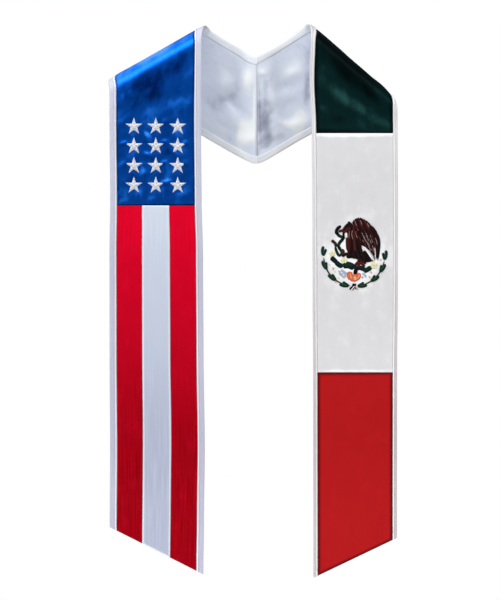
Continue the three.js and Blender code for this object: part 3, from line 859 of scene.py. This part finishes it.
TRICOLOUR_SHEEN = {"front": table("""
x z long wide turn light
98 -13 5 5 0 0.3
92 -26 16 8 -56 0.3
108 -44 20 11 -46 0.36
132 -62 24 10 -34 0.34
150 -72 26 8 -34 0.36
184 -92 16 7 -28 0.34
166 -99 26 9 -8 0.2
140 -3 80 13 -38 -1.3
144 -114 90 3 0 1.5
146 -464.4 90 2.4 0 1
146 -292 36 38 0 1.9
97 -74 5 4 0 0.4
130 -18 40 14 -42 -0.7
165 -52 26 9 -40 -0.5
118 -92 16 8 0 -0.5
"""), "neck": table("""
x z long wide turn light
8 -19 9 5 -30 0.95
66 -90 18 13 80 1.6
44 -97 16 5 -25 0.7
60 -17 16 13 40 0.75
24 -54 15 10 60 0.35
11 -92 48 9 86 -0.7
19 -116 26 7 86 -0.6
3.5 -74 62 2.8 91 -0.5
42 -36 13 10 20 -0.25
34 -118 12 7 30 -0.35
43 -131 52 5 29.5 1.3
41 22 52 5 32 0.9
75 -44 62 6 88 -0.85
12 -138 8 3 24 0.6
""")}

left = Band(STRIPES, STRIPES_EDGES, STRIPES_WAVES, STRIPES_FOLD, STRIPES_RELIEF, STRIPES_SHEEN)
right = Band(TRICOLOUR, TRICOLOUR_EDGES, TRICOLOUR_WAVES, TRICOLOUR_FOLD, TRICOLOUR_RELIEF, TRICOLOUR_SHEEN)


# Where the star field is drawn up into little folds between the stars
PUCKERS = table("""
x z long wide turn height
-161 -116.5 6.5 3.2 -35 1.5
-162 -144 5.5 3.2 -20 1.5
-166 -171.5 5 4 60 1.4
-168 -159 4.5 3 20 1
-195 -127 7 3 10 1.1
-136 -125 6 3 0 1.2
-137 -155.5 5.5 3 15 1.2
-133 -184.8 9 3 12 1.5
-106 -127 5 3 20 1.1
-108 -156.5 6 3 -15 1.2
-136 -95 5 3 30 1
-119 -112 9 3.5 62 1
-121 -142 8 3.5 -50 0.9
-175 -206 9 2.6 80 0.8
-141 -203 9 2.6 95 0.8
-112 -205 10 4 20 1
-204 -204 4 2.4 60 1
-94 -219 5 2.4 30 1
-196 -158 10 4 30 0.8
-198 -95 12 5 40 0.9
""")


def star_puckers(places):
    """The star field is drawn in round each stitched star, and folds a little between them."""
    x, depth, z = np.moveaxis(places, -1, 0)
    nearest = np.min([np.hypot(x - star_x, z - star_z) for star_x, star_z in star_centres(left)], axis=0)
    folds = patches({"front": PUCKERS}, "front", "height", places, np.zeros_like(x))
    ring = STAR_RING * np.exp(-(((nearest - STAR_RADIUS * 1.1) / 5.0) ** 2))
    sunk = -STAR_SINK * np.exp(-((nearest / 10.0) ** 2))
    return (1 - smooth(*ON_FRONT, depth)) * (folds * smooth(5.0, 10.0, nearest) + ring + sunk)


# Emblem: an eagle on a cactus with a snake, over a rock and water, in a wreath. Places from its centre and
# half widths of stitches are in hundredths of its radius.
EMBLEM_RADIUS = 45.5
EMBLEM_SEAM_MARGIN = 181.0
STITCH_HEIGHT = 0.8
STITCH_LIFT = 0.22  # each layer of stitches over the one below
FEATHER_WANDER = 0.022  # how far the middle of a feather strays sideways, as a share of the emblem's radius


def pairs(text):
    return [np.array(pair.split(), float) / 100 for pair in text.split(",")]


def stitch(path, width, colour, layer, lengthwise=False):
    return {"path": path, "width": width, "colour": colour, "layer": layer, "lengthwise": lengthwise}


def strokes(text):
    """Lines of stitches, from rows of: name | places on the path | half width, colour and layer."""
    rows = []
    for line in text.strip().splitlines():
        name, path, look = line.split(" | ")
        width, colour, layer = look.split()
        rows.append(stitch(pairs(path), float(width) / 100, colour, float(layer)))
    return rows


def fan(name, count, width, layer, colours, *lines):
    """Feathers side by side, each from its place on the root line, by the middle line, to the tip line."""
    lines = [pairs(line) for line in lines]
    colours = colours.split()
    rows = []
    for i in range(count):
        path = [arc_at(line, i / (count - 1)) for line in lines]
        path[1] = path[1] + [FEATHER_WANDER * math.sin(2.4 * i + layer), 0]
        colour = colours[i % len(colours)]
        rows.append(stitch(path, width / 100, colour, layer + 0.5 * (i % 2), lengthwise=True))
    return rows


def arc_at(controls, share):
    a, b, c = controls
    middle = 2 * b - (a + c) / 2
    return (1 - share) ** 2 * a + 2 * share * (1 - share) * middle + share**2 * c


# Fans of feathers: name, count, width, layer, colours, and the root, middle and tip lines
FANS = [
    ("long feathers", 15, 3.6, 0, "black brown black red_brown",
     "10 98, 30 110, 50 100", "16 46, 46 62, 79 53", "30 32, 56 8, 77 -18"),
    ("breast", 9, 4.5, 1, "brown red_brown brown black",
     "-14 96, -5 100, 6 94", "-24 60, -5 60, 12 58", "-22 14, -2 -2, 24 10"),
    ("middle of the wing", 12, 3.5, 1, "brown red_brown black brown",
     "0 104, 25 116, 55 98", "6 72, 34 84, 70 74", "20 42, 44 48, 79 42"),
    ("second row of the wing", 9, 4, 1.6, "brown black brown",
     "0 92, 26 100, 60 88", "6 78, 33 82, 68 74", "13 60, 40 62, 75 58"),
    ("top of the wing", 10, 4, 2.2, "brown red_brown brown",
     "-6 110, 16 124, 44 108", "2 98, 22 106, 55 94", "7 80, 34 84, 66 76"),
    ("lights between the long feathers", 13, 0.9, 3.2, "grey black red_brown black",
     "24 76, 44 72, 68 58", "29 64, 49 58, 72 47", "34 52, 54 44, 75 34"),
    ("lights near the tips", 9, 0.9, 3.2, "black grey black red_brown",
     "40 42, 54 36, 71 30", "47 29, 59 21, 73 15", "53 16, 64 7, 74 0"),
    ("lights on the shoulder", 11, 0.9, 3.4, "black grey red_brown black",
     "0 108, 20 118, 48 102", "3 100, 22 109, 52 95", "6 92, 26 100, 57 87"),
    ("lights on the breast", 7, 0.9, 3, "pink black red_brown",
     "-15 82, -6 84, 6 82", "-17 68, -6 68, 8 68", "-17 54, -5 52, 11 56"),
    ("tail", 6, 4.5, 0, "black brown black",
     "18 14, 24 10, 30 16", "24 -6, 34 -4, 44 2", "30 -20, 47 -23, 62 -20"),
    ("thigh", 7, 5, 1, "brown black",
     "-18 24, 0 20, 20 26", "-18 6, 4 4, 24 8", "-14 -5, 8 -13, 26 -8"),
]
EAGLE_STROKES = strokes("""
crest | -6 100, -14 104, -20 110 | 4.5 brown 2
neck | -4 90, -16 98, -28 86, -34 76 | 9 brown 2
side of the neck | -10 102, -22 98, -33 84 | 4 black 2.6
cheek | -14 90, -25 84, -34 72 | 3.5 red_brown 3
beak | -33 78, -42 81, -50 76 | 4.2 red_brown 3
throat | -32 80, -33 70, -33 58 | 5 black 2
ground under the throat | -26 74, -26.5 66, -25 57 | 4.5 white 3.6
raised claw | -10 0, -24 5, -34 1, -40 -4 | 5 brown 2
raised leg | 4 0, -12 -3, -26 -5 | 6 black 1
leg | 14 0, 17 -12, 17 -24 | 6.5 brown 1
left toe | 15 -20, 8 -27, 1 -35 | 4.5 red_brown 2
middle toe | 16 -20, 16 -30, 13 -39 | 4 red_brown 2
right toe | 20 -20, 27 -28, 34 -36 | 4.5 red_brown 2
far toe | 20 -16, 31 -20, 39 -28 | 3.5 brown 2
left claw | 4 -30, 2 -37 | 3 black 3
right claw | 30 -31, 34 -37 | 3 black 3
pale edge of the wing | 29 30, 42 15, 52 0, 63 -17 | 3.6 white 2.4
dark feather | 50 20, 60 5, 68 -14 | 2.6 black 2.2
pale feather | 67 26, 69 8, 69 -12 | 1.4 white 2.6
pale tip | 56 8, 62 -2, 68 -18 | 1.4 grey 2.8
light in the middle | 30 62, 38 48, 48 36 | 0.9 grey 3
light further in | 22 80, 30 66, 36 54 | 0.8 grey 3
light further out | 42 68, 50 52, 57 38 | 0.9 grey 3
light on the long feathers | 46 38, 54 26, 60 14 | 0.8 grey 3
light on the shoulder | 4 102, 10 90, 13 78 | 0.8 pink 3.4
light on the breast | -12 56, -14 40, -12 26 | 0.8 red_brown 3
""")
SNAKE_STROKES = strokes("""
body | -44 94, -58 78, -50 65, -35 57, -45 45, -52 31, -43 17, -40 4 | 5.2 green 0
head | -42 97, -53 88, -58 77, -51 66 | 5.5 black 1
neck | -40 60, -35 57, -42 48 | 5 black 1
lower coil | -40 5, -49 0, -57 13, -62 30 | 4.5 green 0
belly | -42 20, -36 12, -44 2 | 5.5 olive 1
tail end | -61 27, -60 37, -70 47, -73 50 | 5 olive 1
dark coil | -50 36, -50 26, -42 17 | 4 black 1
""")
CACTUS_STROKES = strokes("""
end pad | -76 -6, -67 -13, -57 -23 | 8 teal 0
left pad | -61 -19, -50 -30, -36 -36 | 8 teal 0.5
light on left pad | -57 -24, -49 -30, -41 -33 | 3 green 1
large pad | -38 -34, -19 -31, 2 -41 | 11 teal 0
light on large pad | -31 -33, -18 -31, -5 -37 | 6 green 1
stem | 8 -38, 5 -50, 3 -63 | 6.5 black 1
right pad | 0 -46, 18 -40, 38 -48 | 7.5 teal 0
right end pad | 30 -52, 43 -46, 56 -37 | 8 green 0.5
""")
ROCK_STROKES = strokes("""
left side | -16 -52, -14 -66, -8 -78 | 10 orange 0
right side | 13 -56, 13 -68, 6 -78 | 9 orange 0
middle | 0 -60, 1 -70, 0 -80 | 10 orange 0
foot | -14 -76, 0 -80, 14 -75 | 5.5 orange 0.5
light | 0 -68, 3 -74, 4 -81 | 6 amber 1
left light | -13 -60, -11 -68, -7 -75 | 2 amber 1.2
right light | 17 -62, 15 -69, 10 -76 | 2 amber 1.2
""")
WATER_STROKES = [strokes("""
long wave | -52 -48, -42 -58, -33 -60, -26 -72 | 3.5 pale_blue 0
upper wave | -44 -46, -34 -52, -25 -60 | 3.5 pale_blue 0
lower wave | -50 -58, -40 -66, -30 -74 | 2.4 pale_blue 0
foam | -46 -53, -37 -60, -30 -68 | 1.4 white 1
"""), strokes("""
short wave | 26 -58, 34 -63, 39 -72 | 3.4 pale_blue 0
inner wave | 24 -68, 30 -74 | 2.6 pale_blue 0
""")]
BLOSSOM_CENTRES = "-72 6, -33 -17, 64 -32"
BLOSSOM_REACH = [0.1, 0.1, 0.12]
BERRIES = "-68 -42, -50 -72, 50 -70, -100 -6, 86 -14, -61 -52, 55 -55, -80 -30, -60 -85, 62 -90"
RIBBON_STROKES = strokes("""
knot | -6 -93, 0 -96, 7 -93 | 4 black 1
left end | 0 -96, -8 -104, -15 -112 | 3.2 black 0
left edge | 2 -99, -5 -107, -11 -114 | 1.8 white 1
inner edge | 4 -100, -1 -107, -6 -113 | 1.4 black 1
right end | 0 -97, 6 -104, 13 -110 | 2.6 pink 0
right edge | -1 -98, 3 -104, 7 -111 | 1.4 black 1
""")
# Side, places of the leaves and place of the tip, in degrees from the foot of the wreath
BRANCHES = {
    "wreath_left": (-1, [16.5, 43, 70, 96], 90),
    "wreath_right": (1, [13, 40, 64, 88.5], 82),
}
BRANCH_FOOT = 6  # degrees
LEAF_STALK = 7  # degrees from its start to the leaf's place
# Degrees past the leaf's place and reach of the middle, the same of the end, half width, colour and layer
LEAF_STROKES = [
    (2, 1.04, 11, 1.05, 0.05, "green", 1),
    (1, 0.96, 7, 0.93, 0.042, "green", 1),
    (2, 1.01, 8, 1.02, 0.012, "light_leaf", 2),
]
PETAL_START = 0.015
PETAL_WIDTH = 0.42  # as a share of its reach
PETAL_TURN = 0.4
BLOSSOM_EYE = 0.02
BERRY = (0.02, 0.01)  # from its middle to its end
BERRY_WIDTH = 0.038


def smooth_path(points, count):
    """A curve through a few points."""
    points = np.asarray(points, float)
    if len(points) == 2:
        points = np.array([points[0], points.mean(0), points[1]])
    ends = np.vstack([2 * points[0] - points[1], points, 2 * points[-1] - points[-2]])
    out = []
    for at in np.linspace(0, len(points) - 1, count):
        i = min(int(at), len(points) - 2)
        s = at - i
        a, b, c, d = ends[i:i + 4]
        bend = (2 * a - 5 * b + 4 * c - d) * s**2 + (3 * b - a - 3 * c + d) * s**3
        out.append(0.5 * (2 * b + (c - a) * s + bend))
    return np.array(out)


def add_stroke(build, origin, row, slot, stations=11, blunt=0.35):
    """A raised line of stitches: a rounded ridge with a flat underside, tapered to both ends."""
    line = smooth_path(row["path"], stations) * EMBLEM_RADIUS
    ahead = np.gradient(line, axis=0)
    ahead /= np.linalg.norm(ahead, axis=1, keepdims=True)
    spread = np.clip(1 - np.abs(np.linspace(-1, 1, stations)) ** (2 / blunt), 0, 1) ** 0.5
    half = np.maximum(row["width"] * EMBLEM_RADIUS * spread, 0.02)[:, None]
    arc = np.linspace(0, math.pi, 7)
    along = np.concatenate([[0.0], np.cumsum(np.linalg.norm(np.diff(line, axis=0), axis=1))])
    aside = half * np.cos(arc)
    x = line[:, :1] - ahead[:, 1:] * aside
    z = line[:, 1:] + ahead[:, :1] * aside
    lift = row["layer"] * STITCH_LIFT + STITCH_HEIGHT * np.sin(arc) * np.minimum(1.0, half / 1.2 + 0.25)
    points = np.stack([origin[0] + x, origin[1] - lift, origin[2] + z], -1)
    places = [along[:, None] + 0 * aside, aside]
    index = np.arange(aside.size).reshape(aside.shape)
    faces = grid_faces(index)
    faces += np.stack([index[:-1, 0], index[1:, 0], index[1:, -1], index[:-1, -1]], -1).tolist()
    faces += [index[0].tolist(), index[-1].tolist()]
    build.add(points, faces, np.stack(places[::-1] if row["lengthwise"] else places, -1) * MM, slot)


def embroider(name, origin, rows):
    colours = list(dict.fromkeys(row["colour"] for row in rows))
    build = Build()
    for row in rows:
        add_stroke(build, origin, row, colours.index(row["colour"]))
    return build.finish(name + "_stitches", [THREADS[colour] for colour in colours])


def blossom_strokes(centre, size):
    rows = []
    for petal in range(5):
        reach = turned(petal * math.tau / 5 + PETAL_TURN)
        path = [centre + reach * PETAL_START, centre + reach * size]
        rows.append(stitch(path, PETAL_WIDTH * size, "yellow", 0))
    eye = [centre - [BLOSSOM_EYE, 0], centre + [BLOSSOM_EYE, 0]]
    return rows + [stitch(eye, BLOSSOM_EYE, "amber", 1)]


def branch_strokes(side, leaves, tip):
    def at(degrees, reach=1.0):
        return turned(math.radians(side * degrees - 90), reach)

    rows = [stitch([at(degrees) for degrees in np.linspace(BRANCH_FOOT, tip, 5)], 0.022, "olive", 0)]
    for degrees in leaves:
        for middle, middle_reach, end, end_reach, *look in LEAF_STROKES:
            bow = [at(degrees + middle, middle_reach), at(degrees + end, end_reach)]
            rows.append(stitch([at(degrees - LEAF_STALK), *bow], *look))
    return rows


def emblem(band):
    face = face_depth(band, np.mean(band.seam_along))
    origin = (band.centre, face - PIECE_GAP, band.seams[0] - EMBLEM_SEAM_MARGIN)
    eagle = [row for feathers in FANS for row in fan(*feathers)] + EAGLE_STROKES
    rows = [
        ("eagle", "brown_thread", eagle),
        ("snake", "green_thread", SNAKE_STROKES),
        ("cactus", "teal_thread", CACTUS_STROKES),
        ("rock", "orange_thread", ROCK_STROKES),
        ("ribbon", "white_thread", RIBBON_STROKES),
        ("water_1", "blue_thread", WATER_STROKES[0]),
        ("water_2", "blue_thread", WATER_STROKES[1]),
    ]
    for i, centre in enumerate(pairs(BLOSSOM_CENTRES)):
        rows.append((f"blossom_{i + 1}", "yellow_thread", blossom_strokes(centre, BLOSSOM_REACH[i])))
    for name, branch in BRANCHES.items():
        rows.append((name, "green_thread", branch_strokes(*branch)))
    for name, slot, stitches in rows:
        dress(embroider(name, origin, stitches), slot, name)
    berries = [stitch([berry - BERRY, berry + BERRY], BERRY_WIDTH, "yellow" if i % 2 else "pink", 0)
               for i, berry in enumerate(pairs(BERRIES))]
    embroider("berries", origin, berries)


def dress(obj, slot, *nodes):
    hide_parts(*nodes)
    return obj


def stretches(name):
    return [f"{name}_{part}" for part in ("front", "shoulder", "neck")]


def dress_half(band):
    name = band.half["name"]
    inner, outer = [dress(trim(band, side, TRIMS[name]), "trim_satin", *stretches(f"{name}_trim_{side}"))
                    for side in ("inner", "outer")]
    back = dress(lining(band, LININGS[name]), "lining_satin", *stretches(name + "_lining"))
    run = band.run(np.linspace(0, 3, 400))[-1]


def dress_stripes():
    dress_half(left)
    seam = left.seam_along[0]
    field = panel("star_field_satin", left, seam, 3.0, (0, 1), BLUE, star_puckers, STAR_FIELD_STEP)
    dress(field, "blue_satin", "star_field")
    names = [f"star_{row + 1}_{column + 1}" for row in range(STAR_ROWS) for column in range(STAR_COLUMNS)]
    stitched = dress(stars(left, STAR_THREAD), "white_thread", *names)
    start = 0.0
    for i, share in enumerate(STRIPE_SHARES):
        material, slot = (WHITE_STRIPE, "white_satin") if i % 2 else (RED, "red_satin")
        name = f"stripe_{i + 1}"
        stripe = panel(name + "_satin", left, 0.0, seam, (start, start + share), material)
        dress(stripe, slot, name)
        start += share


def dress_tricolour():
    dress_half(right)
    upper, lower = right.seam_along
    middle_length, end_length = right.half["lengths"][1:]
    for name, material, slot, start, end, length in (
        ("green", GREEN, "green_satin", upper, 3.0, GREEN_LENGTH),
        ("white", WHITE, "white_satin", lower, upper, middle_length),
        ("red", CRIMSON, "crimson_satin", 0.0, lower, end_length - right.half["hem_cut"]),
    ):
        obj = dress(panel(name + "_satin_panel", right, start, end, (0, 1), material), slot, name + "_panel")
    emblem(right)


# The camera looks level along +Y through a long lens, so the picture is nearly flat.
PIXEL = 1.48  # millimetres at the front panels
IMAGE = (500, 600)
NAPE_PIXEL = (256.5, 57.5)  # where the picture shows the top of the nape's seam
CAMERA_DISTANCE = 12.0
CENTRE = ((IMAGE[0] / 2 - NAPE_PIXEL[0]) * PIXEL, (NAPE_PIXEL[1] - IMAGE[1] / 2) * PIXEL)
SENSOR = 36.0
FLOOR_RADIUS = 0.8  # metres, as is the next
FLOOR_Z = -0.865


def add_camera():
    data = bpy.data.cameras.new("camera")
    camera = bpy.data.objects.new("camera", data)
    bpy.context.collection.objects.link(camera)
    front = -SHOULDER_DEPTH * MM
    camera.location = (CENTRE[0] * MM, front - CAMERA_DISTANCE, CENTRE[1] * MM)
    camera.rotation_euler = (math.radians(90), 0, 0)
    data.sensor_width = SENSOR
    data.lens = SENSOR * CAMERA_DISTANCE / (IMAGE[1] * PIXEL * MM)
    data.clip_end = 60
    bpy.context.scene.camera = camera


def add_floor():
    place = (0, 0, FLOOR_Z)
    bpy.ops.mesh.primitive_circle_add(vertices=96, radius=FLOOR_RADIUS, fill_type="NGON", location=place)
    floor = bpy.context.object
    floor.name = "floor"
    material, _, shader = new_material("pale_floor", 0.8, 0.1)
    shader["Base Color"].default_value = (0.93, 0.93, 0.94, 1)
    floor.data.materials.append(material)


def add_area(name, place, target, size, power):
    data = bpy.data.lights.new(name, "AREA")
    data.shape = "RECTANGLE"
    data.size, data.size_y = size
    data.energy = power
    light = bpy.data.objects.new(name, data)
    light.location = place
    light.rotation_euler = (Vector(target) - Vector(place)).to_track_quat("-Z", "Y").to_euler()
    bpy.context.collection.objects.link(light)


def add_world():
    """White behind the stole. Round it a studio that is bright overhead and dim at eye level."""
    world = bpy.data.worlds.new("studio")
    bpy.context.scene.world = world
    world.use_nodes = True
    nodes = Nodes(world.node_tree)
    seen = world.node_tree.nodes["Background"]
    seen.inputs["Color"].default_value = (1, 1, 1, 1)
    seen.inputs["Strength"].default_value = 1.0
    towards = nodes.add("TexCoord").outputs["Generated"]
    upper_left = nodes.add("VectorMath", (0, towards), (1, (-0.6, 0.0, 1.0)), operation="DOT_PRODUCT")
    strength = nodes.ranged(upper_left.outputs["Value"], 0.3, 0.9, 0.06, 1.0)
    around = nodes.add("Background", ("Color", (0.92, 0.96, 1.0)), ("Strength", strength))
    is_seen = nodes.add("LightPath").outputs["Is Camera Ray"]
    both = nodes.add("MixShader", (0, is_seen), (1, around.outputs[0]), (2, seen.outputs[0]))
    nodes.join(world.node_tree.nodes["World Output"].inputs["Surface"], both.outputs["Shader"])


def add_lights():
    add_area("top_softbox", (-0.3, -1.7, 1.6), (0, 0, -0.1), (3.0, 1.6), 24)
    add_area("left_softbox", (-2.8, -2.2, 0.9), (0, 0, -0.35), (1.4, 2.2), 56)
    add_area("right_softbox", (2.8, -2.2, 0.5), (0, 0, -0.4), (1.4, 2.2), 56)


add_camera()
add_floor()
add_world()
add_lights()
dress_stripes()
dress_tricolour()
bpy.context.scene.view_settings.view_transform = "Standard"
